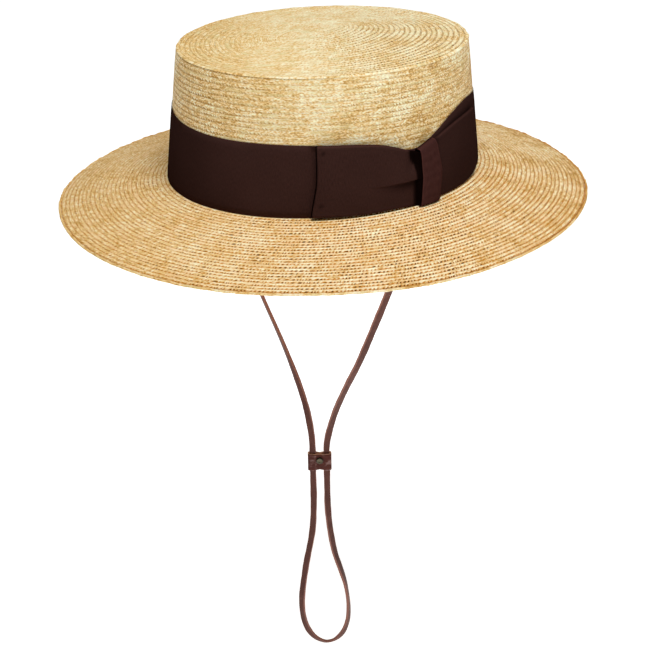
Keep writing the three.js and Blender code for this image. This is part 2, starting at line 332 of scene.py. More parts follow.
def net(grid, closed, fans, mapping):
    """Points, quads, triangles and map of a skin, and the line of faces that each quad is in."""
    rows, columns = grid.shape[:2]
    lines, strips = rows - (not closed[0]), columns - (not closed[1])
    r, c = (index.ravel() for index in np.meshgrid(np.arange(lines), np.arange(strips), indexing="ij"))

    def at(row, column):
        return row % rows * columns + column % columns

    points = grid.reshape(-1, 3)
    quads = np.stack([at(r, c), at(r, c + 1), at(r + 1, c + 1), at(r + 1, c)], 1)
    if mapping is None:
        mapping = pattern(np.arange(strips + 1.0), np.arange(lines + 1.0))
    maps = np.stack([mapping[r, 0, c], mapping[r, 0, c + 1], mapping[r, 1, c + 1], mapping[r, 1, c]], 1)
    triangles, triangle_maps = np.zeros((0, 3), int), np.zeros((0, 3, 2))
    if fans:
        hub = np.full(len(r), len(points))
        first, last = r == 0, r == lines - 1
        start = np.stack([at(r, c + 1), at(r, c), hub], 1)[first]
        end = np.stack([at(r + 1, c), at(r + 1, c + 1), hub + 1], 1)[last]
        triangles = np.concatenate([start, end])
        triangle_maps = np.concatenate([maps[first][:, [1, 0, 0]], maps[last][:, [3, 2, 2]]])
        points = np.concatenate([points, grid[[0, -1]].mean(1)])
    halves = np.concatenate([quads[:, [0, 1, 2]], quads[:, [0, 2, 3]], triangles])
    a, b, d = (points[halves[:, n]] for n in range(3))
    if (a * np.cross(b, d)).sum() < 0:
        quads, maps = quads[:, ::-1], maps[:, ::-1]
        triangles, triangle_maps = triangles[:, ::-1], triangle_maps[:, ::-1]
    return points, quads, triangles, np.concatenate([maps.ravel(), triangle_maps.ravel()]), r


def skin(name, grid, finishes, closed=(False, True), fans=False, mapping=None, marks=None, wears=0):
    """A piece whose surface passes through a grid of points in millimetres, rows by columns.

    Every four neighbours make a face. A closed direction joins its last line to its first, and
    fans close the first and last row to their middle points. Faces are turned round where they
    enclose a negative volume, so they point outwards. `wears` says which of the finishes each
    line of faces wears, and `marks` are numbers that the points carry."""
    points, quads, triangles, maps, line = net(grid, closed, fans, mapping)
    mesh = bpy.data.meshes.new(name)
    mesh.from_pydata(points * MM, [], quads.tolist() + triangles.tolist())
    mesh.uv_layers.new(name="map").data.foreach_set("uv", maps.astype(np.float32))
    for mark, values in (marks or {}).items():
        levels = np.broadcast_to(values, grid.shape[:2]).ravel()
        levels = np.append(levels, np.full(len(points) - len(levels), levels.mean()))
        mesh.attributes.new(mark, "FLOAT", "POINT").data.foreach_set("value", levels.astype(np.float32))
    mesh.polygons.foreach_set("use_smooth", np.ones(len(mesh.polygons), bool))
    for finish in finishes:
        mesh.materials.append(finish)
    worn = np.append(np.broadcast_to(wears, line.max() + 1)[line], np.zeros(len(triangles)))
    mesh.polygons.foreach_set("material_index", worn.astype(np.int32))
    mesh.update()
    return put(name, mesh)


def put(name, data):
    """Adds an object to the scene."""
    thing = bpy.data.objects.new(name, data)
    bpy.context.scene.collection.objects.link(thing)
    return thing


def fit_out(piece, slot, *nodes):
    """Lets the piece ride on the hat and stand for its CAD nodes, which it hides. The slot is not used.
    """
    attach(piece, "root")
    if nodes:
        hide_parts(*nodes)
    return piece


# -------- shape of the hat

CROWN_FOOT = (88.5, 100.0)  # half-axes of the wall at the headline
CROWN_TIP = (82.1, 89.7)  # and at the tip
CROWN_HIGH = 76.1
CROWN_LEAN = 0.3  # how far the tip's middle lies to the left and the back
SHOULDER = 0.25  # how much the wall draws in below the tip
SHOULDER_TALL = 16.0  # over what height it does so
WALL = 2.0
RIM = (156.9, 164.8)  # half-axes of the brim's edge
BRIM_DROP = 14.0
BRIM_THICK = 2.2
RIM_THICK = 1.1
SEAM_AT = 90.0  # the hat's back, where a turn of braid starts
BACK_LEFT = (0.69, 0.72)  # level direction along which the looks change


def oval(half_x, half_y, angle, out=0.0):
    """The point (a cos, b sin) of an oval, moved `out` along the oval's own normal."""
    c, s = np.cos(np.radians(angle)), np.sin(np.radians(angle))
    normal_x, normal_y = half_y * c, half_x * s
    length = np.hypot(normal_x, normal_y)
    return half_x * c + out * normal_x / length, half_y * s + out * normal_y / length


def on_crown(angle, z, out):
    """A point `out` from the crown's wall.

    Its oval narrows evenly from the foot to the tip, and a little more at the shoulder."""
    up = z / CROWN_HIGH
    half_x = CROWN_FOOT[0] + (CROWN_TIP[0] - CROWN_FOOT[0]) * up
    half_y = CROWN_FOOT[1] + (CROWN_TIP[1] - CROWN_FOOT[1]) * up
    drawn_in = SHOULDER * smooth(z, CROWN_HIGH - SHOULDER_TALL, CROWN_HIGH) ** 2
    x, y = oval(half_x, half_y, angle, out - drawn_in)
    return np.stack(np.broadcast_arrays(x + CROWN_LEAN * up, y + CROWN_LEAN * up, z), -1)


def turn_angles(count):
    """Evenly spaced angles of one turn, from the back of the hat."""
    return SEAM_AT + 360 * np.arange(count) / count


# -------- straw


def straw_finish(
    name,
    straw,
    tinge,  # shade that some runs of strands take
    groove_shade,
    arms=1,  # arms of slanted strands in a row
    lean=0.6,  # how far an arm slants, in strands
    grooves=0.6,  # strengths of the grooves, holes, seams and the painted white highlights
    holes=1.0,
    seams=0.08,
    painted_glints=0.2,
    grain=2.6,  # contrasts of the fine grain and of the cloudy patches
    patches=1.1,
    pale=0.6,  # middle shade: 0 is tan and 1 is whiter than cream
    calm=0.0,  # how calm the braid is in a strip from the front left to the back right
    calm_painted_light=0.2,  # how much paler that strip is painted, a painted light
    reach=0.15,  # metres towards the front right where the looks of that side are full
    deeper=-0.5,  # how much more strongly the holes and grooves are painted there, as painted shade; below 0 they fade
    painted_shade_right=0.26,  # how much darker the strands are painted there, a painted shade
    fade=0.35,  # how much fainter the grain is there
):
    """Plaited straw. The map counts strands along a row and rows across.

    A row has one or two arms of slanted strands; two meet at its middle in chevrons. Strands
    differ in shade, on top of patches that run a few strands along their row and a fine grain.
    Rows darken to the groove's shade at their edges, where a dark hole opens at every seam: the
    braid's own dark edges and gaps, partly painted shade in them. White specks on some strands
    are painted highlights. The hat's front right has looks of its own, with the painted shade in
    its grooves and holes set stronger or fainter and its strands painted darker; its left and back
    are painted darker, and a calm strip, where there is one, is painted paler, a painted light."""
    f = Finish(name)
    along, row = f.surface_map()
    lane, across = row.floor(), row.fract()
    part = across * arms
    arm, within_arm = part.floor(), part.fract()
    turned = abs(within_arm - arm) if arms == 2 else within_arm
    drift = f.streaks(along * 0.25, lane * 3.7, 2.0)
    strand = along + turned * lean + f.chance(lane, 7.3) + drift * 4.0
    number, within = strand.floor(), strand.fract()
    own = f.chance(number, lane, arm + 1.7)
    shine = f.chance(number, lane, arm + 5.1)
    run = f.streaks(strand * 0.42, row * 2.3, arm * 0.4 + lane * 0.35)
    fine = f.streaks(along * 1.4, row * 5.2)
    speck = f.streaks(along * 0.55, row * 3.1, 6.0, detail=1)
    tint = f.streaks(strand * 0.22, lane * 2.7, arm + 3.0, detail=1)
    worn = f.streaks(strand * 0.3, lane * 3.1, 9.0).ease(0.25, 0.7)
    patch = f.cloud(f.place(), 62, 3)

    aside, behind = f.level_ways()
    right = aside.ease(0.05, -reach)
    # painted light: in the calm strip the grooves, holes and white specks are fainter and the strands
    # paler
    quiet = (1 - abs(aside + 0.015).ease(0.01, 0.06)) * calm
    # painted shade: darker towards the hat's left and back
    far = (aside.ease(0.03, 0.16) + behind.ease(0.06, 0.14)) * 0.3
    deep = 1 + right * deeper - quiet
    level = pale + (own - 0.5) * 0.25 + (run - 0.5) * (1.5 - right * 0.9)
    level = level + (fine - 0.5) * grain * (1 - right * fade) + (speck - 0.5) * right * 1.1
    level = level + (patch - 0.5) * patches * (1 - right * 0.68)
    # painted shade on the front right, the left and the back; painted light on the calm strip
    level = level - right * painted_shade_right - far + quiet * calm_painted_light
    white = scaled(straw.cream, 1.12)
    shades = (straw.tan, straw.gold, straw.wheat, straw.cream, white)
    body = f.ramp(level, list(zip((0.0, 0.25, 0.52, 0.8, 1.0), shades)))
    body = f.mix(tint.ease(0.45, 0.75) * 0.6, body, tinge)

    crest = (within * math.pi).sin()
    outer = across.ease(0.68, 0.9)
    inner = 1 - across.ease(0.0, 0.14)
    # grooves: the braid's own darker row edges, partly painted shade in them
    groove = (outer + inner).clamp() * (worn * 0.75 + 0.2) * deep * grooves
    seam = (1 - crest.ease(0.0, 0.6)) * seams
    shaded = f.mix((seam + groove).clamp(), body, groove_shade)
    loose = f.streaks(number * 0.45, lane * 1.9, 4.0).ease(0.3, 0.65) * 0.8 + 0.3
    loose = loose * (f.chance(number, lane, 8.8) * 1.1 + 0.05)
    # holes: the braid's own gaps, with painted shade in them
    hole = (1 - crest.ease(0.3, 1.0)) * (across.ease(0.6, 0.8) + inner * 0.5).clamp()
    hole = hole * (loose * 0.85 + 0.15) * (fine * 0.8 + 0.6)
    hole = hole * deep * (1 - aside.ease(0.05, 0.12) * 0.35) * holes
    edged = f.mix(hole.ease(0.0, 0.4), shaded, groove_shade)
    coloured = f.mix(hole.ease(0.4, 1.0), edged, straw.gap)
    # painted highlight: white specks on the crests of some strands, more of them in pale patches
    middle = 1 - abs(within_arm - 0.5) * 2
    painted_glint = shine.ease(0.35, 0.8) * crest.ease(0.5, 1.0) * middle.ease(0.2, 0.8)
    painted_glint = painted_glint * (1 - quiet) * painted_glints * (patch.ease(0.44, 0.6) * 1.2 + 0.4)
    return f.surface(
        Base_Color=f.mix(painted_glint, coloured, white),
        Roughness=0.58 - painted_glint * 0.2,
        Normal=f.bump(crest * 0.4 + (1 - outer) * 0.3 - hole * 0.3, 0.00015, 0.8),
        Specular_IOR_Level=0.06,
    )


CROWN_COLUMNS = 216  # points round each ring
BRIM_COLUMNS = 320
TIP_ROWS = 25  # rows of braid
SIDE_ROWS = 25
BRIM_ROWS = 26
RIDGE_STEPS = np.array([0, 0.14, 0.4, 0.7, 0.93])  # places of the rings across a row, outside
INNER_STEPS = np.array([0, 0.3, 0.7])  # and inside
TIP_RIDGE = 0.3  # how tall the ridges are, as a share of the brim's
SIDE_RIDGE = 0.1
INNER_RIDGE = 0.5
LOWER_RIDGE = 0.6
START = (-15.0, 10.0)  # middle of the strip of braid that the tip's rows start from
START_HALF = 16.0
LIP = [(-1.3, 0.12), (-0.55, -0.05), (-0.1, -0.3), (-0.05, -0.5), (-0.5, -0.7)]  # out, up
LIP_LOW = -1.15  # where the side starts under the lip
LIP_LANES = (TIP_ROWS - 0.7, TIP_ROWS - 0.55)  # where the lip lies on the map, in rows
TIP_ROUND = 1.9  # from the tip's flat to its outer edge
TIP_WARP = 0.5  # how far the flat is warped
TIP_SUNK = 0.4  # and how far it lies below its edge
WOBBLE = 0.06  # size of the rows' unevenness, as a share of a row
SIDE_WOBBLE = 0.07
BRIM_THINS = 5  # rows over which the brim thins to its edge
RIM_INSET = 1.2  # how far the brim's last row ends inside the edge
RIM_OUT = 0.5  # how far the plaited edge reaches outside it
RIM_DEEP = 0.85  # half its depth
RIM_TALL = 1.5  # its height


def row_places(rows, steps, first=0.0):
    """Where the rings lie, counted in rows: the same steps across each row, then the end."""
    places = (np.arange(rows)[:, None] + steps[None, :]).ravel()
    return np.append(places[places >= first], rows)


def shingle(places):
    """Height across a row: a quick smooth rise to 1, then a slope to 0.55 that ends in a drop."""
    f = places - np.floor(places)
    return smooth(f, 0, 0.38) * (1 - 0.45 * smooth(f, 0.4, 1.2))


def wobble(places, angles, size):
    """Slow unevenness of the rows, in rows: two sines round the hat that shift from row to row."""
    a, row = np.radians(angles)[None], places[:, None]
    ends = smooth(places, 0, 3) * (1 - smooth(places, places.max() - 2, places.max()))
    return size * waves(a, (1, 5, 1.3 * row), (0.7, 11, -2.1 * row)) * ends[:, None]


def ring_lengths(grid):
    """Distance walked along each ring up to each column, and all the way round."""
    steps = np.linalg.norm(np.roll(grid, -1, 1) - grid, axis=2)
    return np.concatenate([np.zeros((len(grid), 1)), np.cumsum(steps, 1)], 1)


def braid_map(grid, places, length, lane_offset):
    """Map of rings of braid: whole numbers of strands along a row, and rows across.

    Every line of faces of one row counts its strands along the ring at the row's middle."""
    lanes = np.floor((places[:-1] + places[1:]) / 2)
    nearest = abs(places[None] - lanes[:, None] - 0.5).argmin(1)
    walked = ring_lengths(grid)[nearest]
    counts = np.maximum(6, np.round(walked[:, -1:] / length))
    u = walked / walked[:, -1:] * counts
    v = np.stack([places[:-1], places[1:]], 1) + lane_offset
    return np.stack(np.broadcast_arrays(u[:, None, :], v[:, :, None]), -1)


def join_map(grid, number, v):
    """Map of the one line of faces between two parts of a skin, at one place across."""
    walked = ring_lengths(grid[:1])
    u = np.broadcast_to(walked / walked[:, -1:] * number, (2, walked.shape[1]))
    return np.stack([u, np.full(u.shape, v)], -1)[None]


def relief(places, angles, tall):
    """Heights of rings of braid: its shingles, which lie flatter towards the front right."""
    flat = smooth(np.cos(np.radians(angles - 46)), -0.9, 0.1)
    return (shingle(places) - 0.7)[:, None] * tall * (0.15 + 0.85 * flat)[None]


def tip_rings(places, height, angles, inset=0.0):
    """Rings of the tip, from a straight strip of braid at its start to the tip's oval.

    A ring's half-axes and its middle go evenly from the strip's to the oval's, so the rows are
    wider where the strip lies further from the edge. The tip is slightly warped."""
    share = (places[:, None] + wobble(places, angles, WOBBLE)) / TIP_ROWS
    edge = inset + SHOULDER + TIP_ROUND
    half_x = share * (CROWN_TIP[0] - edge)
    half_y = START_HALF * (1 - share) + share * (CROWN_TIP[1] - edge)
    x, y = oval(half_x, half_y, angles[None])
    x = x + START[0] * (1 - share) + CROWN_LEAN
    y = y + START[1] * (1 - share) + CROWN_LEAN
    inside = 1 - smooth(places, TIP_ROWS - 4, TIP_ROWS)[:, None]
    warp = TIP_WARP * np.sin(np.radians(2 * angles + 40))[None] * smooth(places, 0, 14)[:, None]
    return np.stack([x, y, CROWN_HIGH + height + inside * (warp - TIP_SUNK)], -1)


def side_rings(places, out, angles, top):
    """Rings of the crown's side, evenly spaced from its top to the headline."""
    share = (places[:, None] + wobble(places, angles, SIDE_WOBBLE)) / SIDE_ROWS
    return on_crown(angles[None], top * (1 - share), out)


def lip_rings(angles):
    """The outer edge of the tip's last row, along the LIP profile and uneven as sewn braid is.

    At the front it overhangs the side; towards the back its last line moves out to meet it."""
    out, up = np.array(LIP).T[:, :, None]
    a = np.radians(angles)[None]
    line = np.arange(len(LIP))[:, None]
    uneven = waves(a, (0.14, 17, 1), (0.14, 41, 0)) + 0.2 * np.sin(29 * a) * np.sin(67 * a)
    uneven = uneven * (line > 0)
    overhang = smooth(np.cos(a + math.radians(110)), -0.3, 0.6)
    low = (line == len(LIP) - 1) * (1 - overhang)
    return on_crown(angles[None], CROWN_HIGH + up + uneven * 0.4 - 0.3 * low, out + uneven + 0.7 * low)


def build_crown(straw):
    """The crown: the outer skin from the tip's middle to the foot, then the inner one back.

    Each part of the map counts its rows from another number, so that no two parts match."""
    angles = turn_angles(CROWN_COLUMNS)
    tall, stitch = straw.ridge / MM, straw.stitch / MM
    tip_out, tip_in = row_places(TIP_ROWS, RIDGE_STEPS, 0.14), row_places(TIP_ROWS, INNER_STEPS, 0.3)
    side_out, side_in = row_places(SIDE_ROWS, RIDGE_STEPS), row_places(SIDE_ROWS, INNER_STEPS)
    tip_relief = relief(tip_out, angles, tall * TIP_RIDGE)
    side_relief = relief(side_out, angles, tall * SIDE_RIDGE)
    tip_hollow = -WALL - relief(tip_in, angles, tall * INNER_RIDGE)
    side_hollow = -WALL - relief(side_in, angles, tall * INNER_RIDGE)
    parts = [
        tip_rings(tip_out, tip_relief, angles),
        lip_rings(angles),
        side_rings(side_out, side_relief, angles, CROWN_HIGH + LIP_LOW),
        side_rings(side_in, side_hollow, angles, CROWN_HIGH - WALL)[::-1],
        tip_rings(tip_in, tip_hollow, angles, WALL)[::-1],
    ]
    mapping = np.concatenate([
        braid_map(parts[0], tip_out, stitch, 0),
        join_map(parts[1], 240, LIP_LANES[0]),
        braid_map(parts[1], np.linspace(*LIP_LANES, len(LIP)), stitch, 0),
        join_map(parts[2], 250, 49.9),
        braid_map(parts[2], side_out, stitch, 50),
        join_map(parts[3], 240, 99.98),
        braid_map(parts[3], side_in[::-1], stitch, 100),
        join_map(parts[4], 240, 149.98),
        braid_map(parts[4], tip_in[::-1], stitch, 150),
    ])
    lines = np.arange(len(mapping))
    start = len(tip_out) + len(LIP)
    on_side = ((lines >= start - 1) & (lines < start + len(side_out) - 1)).astype(int)
    shades = {"tinge": straw.olive, "groove_shade": straw.umber}
    tip = straw_finish("tip_straw", straw, **shades, grooves=0.62, pale=0.63, calm=0.5, reach=0.06)
    side = straw_finish(
        "side_straw", straw, **shades, arms=2, grooves=0.5, holes=0.42, seams=0.12, painted_glints=1.1,
        grain=2.4, patches=1.45, pale=0.46, calm=0.85, calm_painted_light=0.08,
        reach=0.08, deeper=0.75, painted_shade_right=0.06, fade=0.0,
    )
    grid = np.concatenate(parts)
    return skin("straw_crown", grid, [tip, side], fans=True, mapping=mapping, wears=on_side)


def brim_rings(places, lift, angles, under=0.0):
    """Rings of points on the brim, which falls in a straight slope from the headline to the rim.

    `lift` is along the slope's normal, and `under` moves a ring straight down."""
    share = (places[:, None] + wobble(places, angles, WOBBLE)) / BRIM_ROWS
    half_x = CROWN_FOOT[0] + (RIM[0] - RIM_INSET - CROWN_FOOT[0]) * share
    half_y = CROWN_FOOT[1] + (RIM[1] - RIM_INSET - CROWN_FOOT[1]) * share
    slope = math.atan2(BRIM_DROP, RIM[0] - CROWN_FOOT[0])
    x, y = oval(half_x, half_y, angles[None], lift * math.sin(slope))
    sag = rim_wave(angles)[None] * share**2
    z = lift * math.cos(slope) - under - BRIM_DROP * share + sag
    return np.stack([x, y, z], -1)


def rim_wave(angles):
    """Slow unevenness of the rim's height: three sines, and a slight dip at the front left."""
    a = np.radians(angles)
    dip = 0.8 * smooth(np.cos(a + math.radians(44)), -0.1, 0.8)
    return waves(a, (0.45, 3, 0.8), (0.3, 5, -0.4), (0.2, 9, 2)) - dip


def build_brim(straw):
    """The brim: its upper skin from the crown to the rim, then its lower skin back."""
    angles = turn_angles(BRIM_COLUMNS)
    tall, stitch = straw.ridge / MM, straw.stitch / MM
    top, low = row_places(BRIM_ROWS, RIDGE_STEPS), row_places(BRIM_ROWS, INNER_STEPS)[::-1]
    above = brim_rings(top, relief(top, angles, tall), angles)
    thin = BRIM_THICK - (BRIM_THICK - RIM_THICK) * smooth(low, BRIM_ROWS - BRIM_THINS, BRIM_ROWS)
    below = brim_rings(low, -relief(low, angles, tall * LOWER_RIDGE), angles, thin[:, None])
    x, y = oval(*CROWN_FOOT, angles, -WALL)
    lips = [np.stack([x, y, np.full(len(angles), z)], -1)[None] for z in (0.0, -BRIM_THICK)]
    mapping = np.concatenate([
        join_map(above, 270, 199.6),
        braid_map(above, top, stitch, 200),
        join_map(below, 440, 299.9),
        braid_map(below, low, stitch, 300),
        join_map(lips[1], 270, 299.6),
        join_map(lips[1], 270, 298.6),
    ])
    grid = np.concatenate([lips[0], above, below, lips[1]])
    finish = straw_finish(
        "brim_straw", straw, straw.blush, straw.ochre, grooves=0.8, holes=1.5, seams=0.05,
        painted_glints=0.15, grain=2.8,
    )
    return skin("straw_brim", grid, [finish], closed=(True, True), mapping=mapping)


def build_rim(straw):
    """The plaited edge: a cord round the rim whose strands rise in turn, radius r + h |sin|.

    The sine's argument runs along the rim and leans back from the middle of the outer side, so
    that the strands meet there in chevrons. The section is taller than wide."""
    strands, per_strand, around = 460, 4, 12
    columns = strands * per_strand
    angles = turn_angles(columns)
    section = np.pi + 2 * np.pi * np.arange(around) / around
    lean = abs(section % (2 * np.pi) - np.pi) / np.pi
    phase = np.arange(columns)[None] / per_strand - 0.8 * lean[:, None]
    radius = 0.93 + 0.08 * abs(np.sin(np.pi * phase))
    a = np.radians(angles)
    uneven = waves(a, (0.12, 37, 0), (0.1, 83, 0.9)) + 0.15 * np.sin(19 * a) * np.sin(151 * a)
    out = RIM_OUT + RIM_DEEP * (radius * np.cos(section)[:, None] - 1) + uneven[None] * 0.6
    x, y = oval(*RIM, angles[None], out)
    middle = rim_wave(angles) + uneven - BRIM_DROP - RIM_TALL / 2
    z = radius * RIM_TALL / 2 * np.sin(section)[:, None] + middle[None]
    grid = np.stack([x, y, z], -1)
    mapping = pattern(np.arange(columns + 1) / per_strand, np.linspace(401.98, 400.7, around + 1))
    finish = straw_finish(
        "rim_straw", straw, straw.olive, straw.ochre, lean=0.5, grooves=0.5, holes=1.4, seams=0.2,
        painted_glints=0.1, grain=1.2, pale=0.55, deeper=-0.9,
    )
    return skin("straw_rim", grid, [finish], closed=(True, True), mapping=mapping)


# -------- ribbon

RIBBON_WIDE = 40.0
BAND_TOP = [  # each table: degrees, and the height of that edge in millimetres
    (-180, 43), (-140, 43), (-125, 42.8), (-109, 41.4), (-90, 40.6), (-44, 39.9), (-30, 38.6),
    (-22, 36.8), (-15, 33.4), (-9, 31), (-4, 32.2), (0.5, 35.4), (5, 38.8), (9.5, 42), (16, 45),
    (22.5, 46.7), (34, 45.6), (44, 43.5), (54, 42.4), (70, 42.5), (90, 43), (180, 43),
]
FRONT_FOOT = [(-46, 1.5), (-40, 1.2), (-28, 0.7), (-15, 0.45), (-10, -0.4), (-4, -0.4)]
FRONT_TOP = [(-46, 40.6), (-34, 39.8), (-27, 38.9), (-22, 37.6), (-15, 34.1), (-10, 30.8), (-4, 30)]
REAR_TOP = [(-6, 32), (0.4, 34), (4, 35.6), (9, 37.6), (14, 38.9), (22, 39.6), (31, 39.4)]
REAR_FOOT = [(-6, 0.4), (12, 0.4), (20, 1.0), (26, 2.6), (31, 4.2)]


def ribbon_finish(name, ribbon, brown, wide):
    """Ribbed ribbon. The map is in millimetres, along the ribbon and across it.

    The mark "fold" is 1 where cloth dives into a fold, and there the cloth is painted dark, a
    painted shade. The woven edges of the ribbon, half its width from its middle, are lighter, and
    painted shade darkens it towards the hat's front right and back left."""
    f = Finish(name)
    along, across = f.surface_map()
    rib = (along * (2 * math.pi / (ribbon.rib / MM))).sin() * 0.5 + 0.5
    yarn = (across * 9.0).sin() * 0.5 + 0.5
    fleck = f.cloud(f.point(along * 1.0, across * 0.25), 2.2, 3)
    cloud = f.cloud(f.place(), 28, 3)
    share = (rib * 0.14 + yarn * 0.06 + (fleck - 0.5) * 0.8 + (cloud - 0.5) * 0.5 + 0.38).clamp()
    height = rib * 0.7 + yarn * 0.15 + fleck * 0.15
    selvage = abs(across - wide / 2).ease(wide / 2 - 0.7, wide / 2 - 0.4)
    cloth = f.mix(share, scaled(brown, 0.62), scaled(brown, 1.5, 0.004))
    cloth = f.mix(selvage * 0.4, cloth, scaled(brown, 2.2))
    fold = f.mark("fold")
    aside, _ = f.level_ways()
    # painted shade: dark in folds, and darker towards the hat's front right and back left
    deep = fold + (1 - fold) * abs(aside).ease(0.03, 0.1) * 0.35
    return f.surface(
        Base_Color=f.mix(deep, cloth, scaled(brown, 0.12)),
        Roughness=0.65 + fleck * 0.2,
        Normal=f.bump(height, 0.00006, 0.5),
        Specular_IOR_Level=0.0,
    )


BAND_COLUMNS = 360
BAND_FOOT = 0.05
BAND_BACK = 0.25  # how far the band's back stands out from the crown
BAND_FACE = 0.65  # its face
BAND_EDGE = 0.4  # and its edges


def build_band(finish):
    """The band: a loop with a flat rounded section, its upper edge following BAND_TOP."""
    angles = turn_angles(BAND_COLUMNS)
    turn = (angles + 180) % 360 - 180
    top = eased(BAND_TOP, turn)
    front = np.linspace(0, 1, 11)
    back = front[::-1][1:-1:3]
    share = np.concatenate([[0.0], front, [1.0], back])
    face = BAND_BACK + (BAND_FACE - BAND_BACK) * (1 - 0.5 * abs(2 * front - 1) ** 12)
    out = np.concatenate([[BAND_EDGE], face, [BAND_EDGE], np.full(len(back), BAND_BACK)])
    z = BAND_FOOT + (top[None] - BAND_FOOT) * share[:, None]
    loose = 0.12 * np.sin(np.radians(4 * angles + 30))[None] * share[:, None]
    facing = np.zeros(len(share))
    facing[1 : 1 + len(front)] = 1
    grid = on_crown(angles[None], z, out[:, None] + loose * facing[:, None])
    along = ring_lengths(grid)[len(front) // 2]
    across = np.append(share, 0) * RIBBON_WIDE
    return skin("ribbon_band", grid, [finish], closed=(True, True), mapping=pattern(along, across))


CREASE = 15.0  # height of the front wing's crease
FRONT_FREE = -43.7  # where the wings' free ends lie, in degrees
REAR_FREE = 28.4
STITCHES = [(FRONT_FREE + 1.5, 36.5), (FRONT_FREE + 2.0, 7.5)]  # places of two, and heights
KNOT_FILL = 6.0  # how far the wings' gathered ends stand out inside the knot
FRONT_LIES = 3.7  # how far each wing's front layer stands out from the crown
REAR_LIES = 2.75
BEHIND = 1.95  # and its back layer
FOLD_REACH = 0.75  # how far a fold goes past its free end, in degrees
PER_DEGREE = 1.62  # millimetres of ribbon for each degree


def front_layer(angle, z):
    """How far the front wing's upper layer stands out from the crown.

    A low pillow, plus a step along the crease that grows towards the knot, minus the two places
    beside the knot where the cloth dives behind it. Inside the knot it rises and fills it."""
    towards = smooth(angle, -28, -13)
    above = smooth(z, CREASE - 0.25, CREASE + 0.25)
    pillow = 0.7 * hump(z, 0, 38) * hump(angle, -45, -9)
    step = towards * (1.25 * above * np.exp(-np.clip(z - CREASE, 0, 99) / 12) - 0.35 * (1 - above))
    high = smooth(angle, -13.5, -10.5) * smooth(z, 17.5, 24)
    low = smooth(angle, -11.5, -9.5) * (1 - smooth(z, CREASE - 1.2, CREASE - 0.1))
    lies = FRONT_LIES + pillow + step - 2.1 * high - 0.2 * low
    return lies + (KNOT_FILL - lies) * smooth(angle, -9.2, -8.0)


def front_fold_shade_and_stitches(angle, z):
    """The front wing's painted shade, and its stitches.

    Painted shade in a wedge beside the knot, in a strip under the crease and all inside the
    knot, and two dark stitch marks."""
    edge = -11.6 + 3.6 * smooth(31 - z, 2, 14)
    wedge = smooth(angle, edge - 0.5, edge + 0.6) * smooth(z, CREASE, CREASE + 3)
    under = 1 - smooth(z, CREASE - 0.8, CREASE)
    shade = 0.6 * smooth(angle, -24, -11) * smooth(z, CREASE - 7, CREASE - 0.5)
    dark = np.maximum(wedge, under * np.maximum(smooth(angle, -10.6, -9.6), shade))
    dark = np.maximum(dark, smooth(angle, -9.8, -9.0))
    for at, up in STITCHES:
        dark = np.maximum(dark, 0.6 * np.exp(-((angle - at) / 0.7) ** 2 - ((z - up) / 1.2) ** 2))
    return dark


def rear_fold_shade(angle, z):
    """The rear wing's painted shade, a narrow strip behind the knot."""
    return 0.8 * (1 - smooth(angle, -0.5, 2.5)) * np.ones_like(z)


def wing_sheet(name, finish, cloth, free, knot_end, top, foot, layer, folds, creased):
    """A wing: ribbon that runs from the knot to the free end, folds, and runs back behind.

    Its columns follow that path and its rows go up the ribbon, close together at a crease. The
    fold is a half circle between the front layer and the back one, with painted shade where it
    turns away."""
    front = np.linspace(knot_end, free, 46)
    bend = np.radians(np.linspace(90, -90, 13))[1:-1]
    back = np.linspace(free, knot_end, 12)
    path = np.concatenate([front, np.full(len(bend), free), back])
    low, high = eased(foot, path), eased(top, path)
    if creased:
        near = CREASE + np.array([-0.5, -0.2, 0.0, 0.2, 0.5])[:, None]
        lower, upper = np.linspace(0, 1, 12)[:-1, None], np.linspace(0, 1, 14)[1:, None]
        z = np.concatenate([
            low + (near[0] - low) * lower,
            np.broadcast_to(near, (len(near), len(path))),
            near[-1] + (high - near[-1]) * upper,
        ])
    else:
        z = low + (high - low) * np.linspace(0, 1, 26)[:, None]
    turn = slice(len(front), len(front) + len(bend))
    out = layer(path[None], z)
    at_end = layer(np.full_like(z, free), z)[:, turn]
    out[:, turn] = (at_end + BEHIND) / 2 + (at_end - BEHIND) / 2 * np.sin(bend)
    out[:, turn.stop:] = BEHIND
    direction = 1 if free > knot_end else -1
    reach = np.zeros_like(z)
    reach[:, turn] = direction * np.cos(bend) * FOLD_REACH
    near_free = smooth(direction * (path - knot_end), 0, direction * (free - knot_end))[None]
    grid = on_crown(path[None] + reach + end_tilt(z) * near_free, z, out)
    along = np.concatenate([[0], np.cumsum(np.hypot(np.diff(path) * PER_DEGREE, 0.15))])
    mapping = pattern(along, np.linspace(0, RIBBON_WIDE, len(z)))
    # painted shade from the wing's own table, and stitch marks
    dark = folds(path[None], z)
    # painted shadow line where the fold at the free end turns away
    dark[:, turn] = np.maximum(dark[:, turn], 1 - smooth(np.sin(bend), 0.7, 0.97))
    piece = skin(name, grid, [finish], (False, False), mapping=mapping, marks={"fold": dark})
    return thicken(piece, cloth)


def end_tilt(z):
    """Degrees by which a free end's fold leaves the upright: its lower half swings outwards."""
    lean = np.clip(z / RIBBON_WIDE, 0, 1)
    return 0.6 - 1.6 * (1 - smooth(lean, 0, 0.55)) - 0.3 * smooth(lean, 0.7, 1)


def thicken(piece, thick):
    """Gives a sheet its thickness, half on each side."""
    solid = piece.modifiers.new("cloth", "SOLIDIFY")
    solid.thickness = thick
    solid.offset = 0
    solid.use_even_offset = True
    return piece


